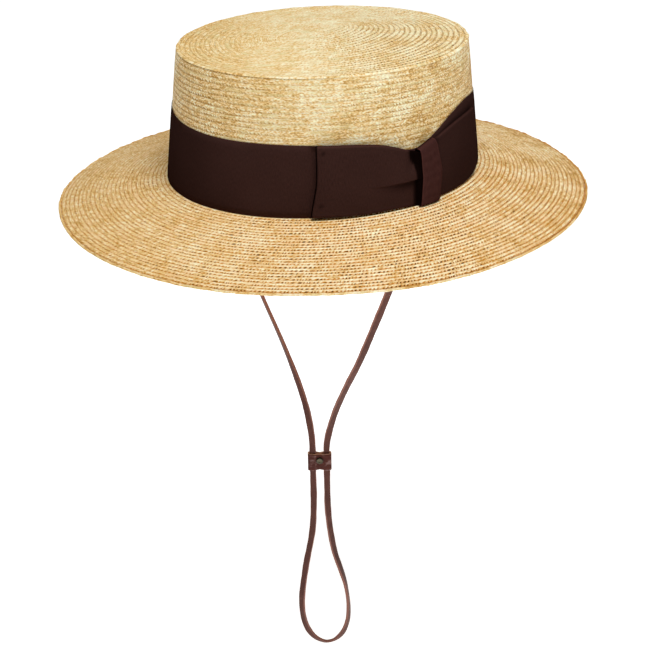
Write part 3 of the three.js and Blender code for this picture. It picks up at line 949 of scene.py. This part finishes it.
def rear_layer(angle, z):
    """The rear wing lies flat, dips slightly beside the knot, and rises inside it and fills it."""
    lies = REAR_LIES + 0.25 * hump(z, 0, 38) - 0.2 * (1 - smooth(angle, -4, 3))
    return lies + (KNOT_FILL - lies) * (1 - smooth(angle, -2.4, -1.2))


def build_wings(finish, cloth):
    """The front wing and the rear one."""
    front = (FRONT_FREE, -5.7, FRONT_TOP, FRONT_FOOT, front_layer, front_fold_shade_and_stitches, True)
    rear = (REAR_FREE, -5.0, REAR_TOP, REAR_FOOT, rear_layer, rear_fold_shade, False)
    pieces = {"bow_front": front, "bow_rear": rear}
    return [wing_sheet(name, finish, cloth, *shape) for name, shape in pieces.items()]


KNOT_WIDE = 14.0
KNOT_ROUND = 84.0  # length of the ribbon round the wings
KNOT_FOOT = 0.2
KNOT_TOP = (31.5, 35.4)  # height of its upper edge at its front side and at its rear side


def build_knot(ribbon):
    """The knot: a sleeve round the wings, a rounded box section carried across its width.

    Its sides lean, its upper edge climbs towards the rear, and its face is slightly domed."""
    c, s = circle(48)
    width = np.append([0, 0.02], np.linspace(0.04, 1, 12))
    box_out, box_up = squared(c, 0.35), squared(s, 0.12)
    top = KNOT_TOP[0] + (KNOT_TOP[1] - KNOT_TOP[0]) * width
    height = KNOT_FOOT + (top - KNOT_FOOT)[None] * (box_up[:, None] + 1) / 2
    height = height - 0.6 * ((1 - box_up) * (1 + box_out) / 4)[:, None]
    edge = 1 - abs(2 * width - 1) ** 5
    out = 4.3 + (2.25 + 0.35 * edge)[None] * box_out[:, None]
    lean = height / 37
    belly = hump(lean, 0, 1)
    left, right = -8.8 - 0.3 * lean + 1.2 * belly, -1.0 - 1.2 * lean + 2.2 * belly
    angle = left + (right - left) * width[None]
    grid = on_crown(angle, height, out)
    finish = ribbon_finish("knot_ribbon", ribbon, ribbon.knot, KNOT_WIDE)
    mapping = pattern(KNOT_WIDE * width, np.linspace(0, KNOT_ROUND, len(c) + 1))[..., ::-1]
    # painted shade: the sleeve's back half and its first column are painted dark
    marks = {"fold": 0.9 * np.maximum(width[None] < 0.01, box_out[:, None] < 0)}
    piece = skin("bow_knot_sleeve", grid, [finish], (True, False), mapping=mapping, marks=marks)
    return thicken(piece, ribbon.cloth * 1.4)


# -------- leather and metal

LACE_ROUTE = [  # x, y, z of the middle, and the direction of its width seen from above
    (-83.4, -9.9, 15, 95), (-84.6, -10, 1, 97), (-83.2, -10, -22, 110), (-77, -9.8, -56, 130),
    (-66.8, -9.4, -84, 148), (-53.8, -9, -105.8, 160), (-33.5, -8.8, -136.5, 169),
    (-20.5, -8.6, -159.8, 190), (-13.3, -8.5, -176.8, 205), (-10.6, -8.4, -187.2, 212),
    (-8.6, -8.4, -198, 220), (-8.1, -8.4, -207, 226), (-8.1, -8.4, -218, 226),
    (-8.1, -8.4, -229, 226), (-8.1, -8.4, -250, 224), (-9.1, -9.4, -275, 220),
    (-13, -13.4, -308, 210), (-15.3, -15.8, -338, 191), (-14.3, -14.8, -355.5, 187),
    (-11.6, -12, -366.3, 178), (-8.3, -8.6, -372.2, 160), (-4.1, -4.2, -375.4, 142),
    (-1.2, -1.3, -375.1, 132), (1.8, 1.9, -373, 114), (5.3, 5.5, -366.8, 94),
    (7.7, 8, -356.3, 100), (8.3, 8.6, -345.9, 113), (8, 8.3, -335.5, 124), (6.7, 7, -322, 120),
    (4.3, 4.5, -308.3, 104), (1.8, 1.9, -295, 93), (-0.3, -0.3, -275.3, 82),
    (-1.3, -1.4, -256, 68), (-1.45, -1.5, -240, 52), (-1.45, -1.5, -229, 46),
    (-1.45, -1.5, -218, 46), (-1.45, -1.5, -207, 46), (0.1, -1.6, -198, 50),
    (8.3, -2.4, -174.6, 68), (20.3, -3.7, -150.5, 66), (33.1, -5, -127.2, 60),
    (47.1, -6.5, -98.3, 56), (62.1, -8, -65.6, 58), (73.4, -9.2, -38, 68), (81.4, -9.9, -14, 80),
    (84.5, -10, 0, 85), (83.4, -9.9, 15, 85),
]
LACE_ROLL = [  # millimetres along the lace, and degrees by which its width rolls out of level
    (0, 0), (358, 0), (373, 2), (391, 13), (403, 33), (411, 44), (418, 42), (422, 36), (427, 27),
    (435, 8), (446, 0), (460, 0), (850, 0),
]
STATION = 1.2  # millimetres between rings of the lace
LACE_ROUND = 11.0  # length of the lace's section on its map
LACE_LIT = 5.5  # and the place there of the edge beside which the lace is painted lighter, a painted highlight
KEEPER_MIDDLE = (-4.8, -5.0, -217.2)
KEEPER_TURN = 226.0  # direction of its width, seen from above
KEEPER_HALF = 8.2
KEEPER_DEEP = 2.6  # half its depth
KEEPER_TALL = 13.1
KEEPER_WALL = 1.1
RIVET_UP = 1.5  # above the keeper's middle
RIVET_PROFILE = [  # radius, and distance in front of the keeper's middle
    (0.01, -2.75), (1.5, -2.75), (1.85, -2.6), (1.9, -2.2), (0.8, -2.2), (0.8, 2.1), (2.3, 2.1),
    (2.5, 2.2), (2.55, 2.45), (2.45, 2.8), (2.1, 3.08), (1.7, 3.15), (1.4, 3.05), (1.0, 2.85),
    (0.5, 2.7), (0.01, 2.66),
]
RIVET_EDGE = (9.5, 11.0)


def lace_line():
    """The lace's middle line and twist, at even stations.

    A centripetal Catmull-Rom curve through the route: `eased` over places that are apart by the
    roots of the distances between its points, with 32 steps from each to the next."""
    route = np.array(LACE_ROUTE, float)
    apart = np.linalg.norm(np.diff(route[:, :3], axis=0), axis=1) ** 0.5
    places = np.concatenate([[0], np.cumsum(apart)])
    steps = places[:-1, None] + apart[:, None] * np.linspace(0, 1, 33)[:-1]
    steps = np.append(steps, places[-1])
    fine = np.stack([eased(np.stack([places, column], 1), steps) for column in route.T], 1)
    walked = np.concatenate([[0], np.cumsum(np.linalg.norm(np.diff(fine[:, :3], axis=0), axis=1))])
    stations = np.linspace(0, walked[-1], round(walked[-1] / STATION) + 1)
    line = np.stack([np.interp(stations, walked, column) for column in fine.T], 1)
    return line[:, :3], line[:, 3], stations


def leather_finish(name, face, cut, edge_highlight, worn):
    """Smooth leather with raw edges, where the mark "cut" is 1. The map is about in millimetres.

    The fourth argument lightens the leather beside one edge of a lace, a painted highlight, and
    the fifth lightens soft patches, painted highlights as well."""
    f = Finish(name)
    along, across = f.surface_map()
    edge = f.mark("cut")
    grain = f.cloud(f.point(along * 0.35, across * 1.6), 2.2, 3)
    cloud = f.cloud(f.place(), 55, 3)
    pore = f.node("ShaderNodeTexVoronoi", None, {"Vector": f.point(along, across), "Scale": 2.6})
    share = ((grain - 0.5) * 0.9 + (cloud - 0.5) * 0.9 + 0.45).clamp()
    body = f.mix(share, scaled(face, 0.55), scaled(face, 1.35))
    # painted highlights: lighter beside one edge of the lace, and in soft patches
    beside = 1 - abs(across - LACE_LIT).ease(0.8, 2.4)
    highlight_patches = f.cloud(f.place(), 240, 2).ease(0.52, 0.72)
    body = f.mix((beside * edge_highlight + highlight_patches * worn).clamp(), body, cut)
    body = f.mix(edge * (0.55 + 0.45 * grain), body, cut)
    return f.surface(
        Base_Color=body,
        Roughness=0.4 + edge * 0.2 + (grain - 0.5) * 0.15,
        Normal=f.bump(grain * 0.6 + pore * 0.25, 0.00012, 0.5),
        Specular_IOR_Level=0.1,
    )


def build_lace(leather, finish):
    """The lace: a rounded flat section, |x/a|^5 + |y/b|^5 = 1, carried along the route.

    Its width keeps the route's twist, square to the line, and then rolls about the line."""
    middle, twist, stations = lace_line()
    tangent = np.gradient(middle, axis=0)
    tangent /= np.linalg.norm(tangent, axis=1)[:, None]
    flat = np.stack([np.cos(np.radians(twist)), np.sin(np.radians(twist)), 0 * twist], 1)
    flat -= tangent * (flat * tangent).sum(1)[:, None]
    flat /= np.linalg.norm(flat, axis=1)[:, None]
    depth = np.cross(flat, tangent)
    roll = np.radians(eased(LACE_ROLL, stations))[:, None]
    c, s = np.cos(roll), np.sin(roll)
    flat, depth = flat * c + depth * s, depth * c - flat * s
    half = leather.width / MM / 2
    c, s = circle(24, 7.5)
    across, out = squared(c, 0.4) * half, squared(s, 0.4) * leather.thick / MM / 2
    uneven = 1 + waves(stations, (0.035, 0.21, 0), (0.02, 0.57, 1))
    grid = middle[:, None] + flat[:, None] * across[None, :, None] * uneven[:, None, None]
    grid = grid + depth[:, None] * out[None, :, None]
    mapping = pattern(np.linspace(0, LACE_ROUND, len(c) + 1), stations)[..., ::-1]
    cut = smooth(abs(across), half - 0.3, half - 0.05)
    piece = skin("lace", grid, [finish], fans=True, mapping=mapping, marks={"cut": cut})
    return piece, middle, stations[-1]


def at_keeper(x, y, z):
    """A point given across the keeper, towards its front and up, placed on the strap."""
    c, s = math.cos(math.radians(KEEPER_TURN)), math.sin(math.radians(KEEPER_TURN))
    mx, my, mz = KEEPER_MIDDLE
    return np.stack(np.broadcast_arrays(mx + c * x - s * y, my + s * x + c * y, mz + z), -1)


def keeper_depth(x):
    """Half the keeper's depth: full over each leg of the lace, drawn in at the rivet."""
    return KEEPER_DEEP * (1 - 0.27 * (1 - smooth(abs(x), 1.2, 3.6)))


def build_keeper(finish):
    """The keeper: a leather wall round both legs of the lace.

    Its outline is |x/a|^4.8 + |y/b|^4.8 = 1 with the depth b drawn in at the middle; the wall's
    section is a rounded strip, and both rims dip between the legs."""
    c, s = circle(96)
    x, side = squared(c, 0.42) * KEEPER_HALF, squared(s, 0.42)
    outer_y = side * keeper_depth(x)
    inner_x = x * (KEEPER_HALF - KEEPER_WALL) / KEEPER_HALF
    inner_y = side * (0.15 + 1.2 * smooth(abs(x), 1.6, 3.4))
    outside = np.concatenate([[-1], np.linspace(-0.95, 0.95, 13), [1]])
    inside = outside[::-3]
    level = np.concatenate([outside, inside])[:, None]
    inward = np.repeat([0.0, 1.0], [len(outside), len(inside)])[:, None]
    inward[[0, len(outside) - 1]] = 0.22
    inward[[len(outside), -1]] = 0.78
    dip = 0.55 * (1 - smooth(abs(x), 0.6, 4.4))
    z = level * (KEEPER_TALL / 2 + 0.1 - dip)
    belly = np.sign(side) * 0.12 * (1 - level**2) * (1 - inward)
    grid = at_keeper(x + (inner_x - x) * inward, outer_y + (inner_y - outer_y) * inward + belly, z)
    mapping = pattern(np.arange(len(c) + 1) * 0.42, np.append(level, level[0]) * 6)
    # the rim and the upper and lower inner wall take the rim's colour: raw cut leather, partly painted
    # light
    marks = {"cut": (abs(level) > 0.97 - 0.4 * inward).astype(float)}
    return skin("keeper", grid, [finish], (True, True), mapping=mapping, marks=marks)


def rivet_finish(brass):
    """Antique brass with fine scratches, bright on top and painted dark where it meets the leather, a
    painted shade.

    The map counts the profile's points, and the painted shade fades out over RIVET_EDGE."""
    f = Finish("rivet_brass")
    scratch = f.cloud(f.place(), 2600, 3)
    tarnish = f.cloud(f.place(), 700, 2)
    share = (scratch * 0.5 + tarnish * 0.9 - 0.15).clamp()
    metal = f.mix(share, scaled(brass, 0.35), scaled(brass, 1.7))
    _, across = f.surface_map()
    # painted shade: dark on the rivet's back, shank and the outer side of its head, where it meets the
    # leather
    rim = 1 - across.ease(*RIVET_EDGE)
    return f.surface(
        Base_Color=f.mix(rim * 0.9, metal, scaled(brass, 0.08)),
        Metallic=0.6,
        Roughness=0.25 + tarnish * 0.2,
        Normal=f.bump(scratch, 0.00004, 0.5),
    )


def build_rivet(leather):
    """The rivet: a profile of radius and distance turned about the keeper's depth.

    Its head is a rounded ring with a shallow dish in it."""
    radius, front = np.array(RIVET_PROFILE).T[:, :, None]
    c, s = circle(40)
    grid = at_keeper(radius * c, front, RIVET_UP + radius * s)
    return skin("rivet", grid, [rivet_finish(leather.brass)], fans=True)


# -------- stage

LOOK_AT = (0.0, 0.0, -0.112)  # in metres
CAMERA_AWAY = 0.8014
CAMERA_AZIMUTH = 46.0  # degrees from the hat's front towards the wearer's left
CAMERA_HEIGHT = 19.2  # degrees above the level
CAMERA_LENS = 71.8  # millimetres
CAMERA_ROLL = -1.04  # degrees
CAMERA_ASIDE = -0.00227  # how far, in metres, it looks past that point to the right
FLOOR_REACH = 40000  # millimetres from the middle to the floor's edge


def place_camera():
    """The camera stands on a sphere round the hat and looks at a point under the crown."""
    a, e = math.radians(CAMERA_AZIMUTH), math.radians(CAMERA_HEIGHT)
    aside = Vector((math.cos(a), math.sin(a), 0))
    stand = Vector((math.sin(a) * math.cos(e), -math.cos(a) * math.cos(e), math.sin(e))) * CAMERA_AWAY
    back = (stand - Vector(LOOK_AT) - aside * CAMERA_ASIDE).normalized()
    right = Vector((0, 0, 1)).cross(back).normalized()
    up = back.cross(right)
    c, s = math.cos(math.radians(CAMERA_ROLL)), math.sin(math.radians(CAMERA_ROLL))
    right, up = right * c + up * s, up * c - right * s
    camera = put("camera", bpy.data.cameras.new("camera"))
    camera.matrix_world = Matrix.Translation(stand) @ Matrix((right, up, back)).transposed().to_4x4()
    camera.data.lens = CAMERA_LENS
    camera.data.sensor_width = 36
    camera.data.clip_start, camera.data.clip_end = 0.01, 200
    bpy.context.scene.camera = camera
    return right, up, back


def softbox(name, place, power, size):
    """A square light that faces the hat."""
    light = bpy.data.lights.new(name, "AREA")
    light.energy, light.size = power, size
    lamp = put(name, light)
    lamp.location = place
    lamp.rotation_mode = "QUATERNION"
    lamp.rotation_quaternion = (Vector(place) - Vector(LOOK_AT)).to_track_quat("Z", "Y")


def build_floor(stage):
    """A pale floor, a disc of rings that widen as they go out."""
    f = Finish("floor_paint")
    grain = f.cloud(f.place(), 3, 2)
    paint = f.surface(
        Base_Color=f.mix(grain, scaled(stage.pale, 0.985), stage.pale),
        Roughness=0.9,
        Emission_Color=(1, 1, 1, 1),
        Emission_Strength=stage.glow,
    )
    radius = np.geomspace(1, FLOOR_REACH, 12)[:, None]
    c, s = circle(72)
    x, y = radius * c, radius * s
    return skin("floor", np.stack([x, y, np.full_like(x, stage.floor / MM)], -1), [paint])


def build_sky(stage):
    """A white backdrop that lights the hat only faintly."""
    world = bpy.data.worlds.new("sky")
    world.use_nodes = True
    tree = world.node_tree
    faint = tree.nodes["Background"]
    faint.inputs["Color"].default_value = (1, 1, 1, 1)
    faint.inputs["Strength"].default_value = stage.sky
    white = tree.nodes.new("ShaderNodeBackground")
    white.inputs["Color"].default_value = (1, 1, 1, 1)
    seen = tree.nodes.new("ShaderNodeLightPath")
    either = tree.nodes.new("ShaderNodeMixShader")
    tree.links.new(seen.outputs["Is Camera Ray"], either.inputs["Fac"])
    tree.links.new(faint.outputs["Background"], either.inputs[1])
    tree.links.new(white.outputs["Background"], either.inputs[2])
    tree.links.new(either.outputs["Shader"], tree.nodes["World Output"].inputs["Surface"])
    return world


# -------- operators


class BOATER_OT_stage(bpy.types.Operator):
    """Sets up the camera, the floor and the soft light"""

    bl_idname = "boater.stage"
    bl_label = "Stage"

    def execute(self, context):
        stage = context.scene.boater.stage
        right, up, back = place_camera()
        softbox("key_light", back * 0.95 + up * 0.95 + right * 0.12, stage.key, 0.8)
        softbox("left_fill", back * 0.5 - right * 1.8 + up * 0.3, stage.left, 1.4)
        softbox("right_fill", back * 0.5 + right * 1.8 + up * 0.4, stage.right, 1.4)
        context.scene.world = build_sky(stage)
        context.scene.view_settings.view_transform = "Standard"
        build_floor(stage)
        return {"FINISHED"}


class BOATER_OT_chin_strap(bpy.types.Operator):
    bl_idname = "boater.chin_strap"
    bl_label = "Chin strap"

    def execute(self, context):
        leather = context.scene.boater.leather
        lace_leather = leather_finish("lace_leather", leather.lace, leather.cut, 0.7, 0.1)
        lace, line, length = build_lace(leather, lace_leather)
        fit_out(lace, "lace_leather", "chin_strap")
        keeper_leather = leather_finish("keeper_leather", leather.keeper, leather.rim, 0, 0.22)
        keeper = fit_out(build_keeper(keeper_leather), "slider_leather", "strap_slider")
        rivet = fit_out(build_rivet(leather), "stud_brass", "slider_stud")
        return {"FINISHED"}


class BOATER_OT_crown(bpy.types.Operator):
    """Builds the straw crown"""

    bl_idname = "boater.crown"
    bl_label = "Crown"

    def execute(self, context):
        fit_out(build_crown(context.scene.boater.straw), "straw", "crown")
        return {"FINISHED"}


class BOATER_OT_brim(bpy.types.Operator):
    """Builds the straw brim and its plaited rim"""

    bl_idname = "boater.brim"
    bl_label = "Brim"

    def execute(self, context):
        straw = context.scene.boater.straw
        fit_out(build_brim(straw), "straw", "brim")
        fit_out(build_rim(straw), "straw")
        return {"FINISHED"}


class BOATER_OT_ribbon(bpy.types.Operator):
    """Builds the ribbon band and the flat bow with its knot"""

    bl_idname = "boater.ribbon"
    bl_label = "Ribbon"

    def execute(self, context):
        ribbon = context.scene.boater.ribbon
        brown = ribbon_finish("brown_ribbon", ribbon, ribbon.brown, RIBBON_WIDE)
        band = fit_out(build_band(brown), "ribbon", "hat_band")
        front, rear = build_wings(brown, ribbon.cloth)
        fit_out(front, "ribbon", "bow_front_wing")
        fit_out(rear, "ribbon", "bow_rear_wing")
        knot = fit_out(build_knot(ribbon), "knot_ribbon", "bow_knot")
        return {"FINISHED"}


class BOATER_PT_pieces(bpy.types.Panel):
    """The hat's pieces, in the order in which they are built"""

    bl_idname = "BOATER_PT_pieces"
    bl_label = "Straw boater"
    bl_space_type = "VIEW_3D"
    bl_region_type = "UI"
    bl_category = "Boater"

    def draw(self, context):
        for operator in OPERATORS:
            self.layout.operator(operator.bl_idname)


SETTINGS = (StrawSettings, RibbonSettings, LeatherSettings, StageSettings, BoaterSettings)
OPERATORS = (
    BOATER_OT_stage,
    BOATER_OT_chin_strap,
    BOATER_OT_crown,
    BOATER_OT_brim,
    BOATER_OT_ribbon,
)


def register():
    for kind in (*SETTINGS, *OPERATORS, BOATER_PT_pieces):
        bpy.utils.register_class(kind)
    bpy.types.Scene.boater = PointerProperty(type=BoaterSettings)


def unregister():
    del bpy.types.Scene.boater
    for kind in reversed((*SETTINGS, *OPERATORS, BOATER_PT_pieces)):
        bpy.utils.unregister_class(kind)


def main():
    """Registers the classes and builds every piece."""
    register()
    for operator in OPERATORS:
        getattr(bpy.ops.boater, operator.bl_idname.split(".")[1])()


if __name__ == "__main__":
    main()
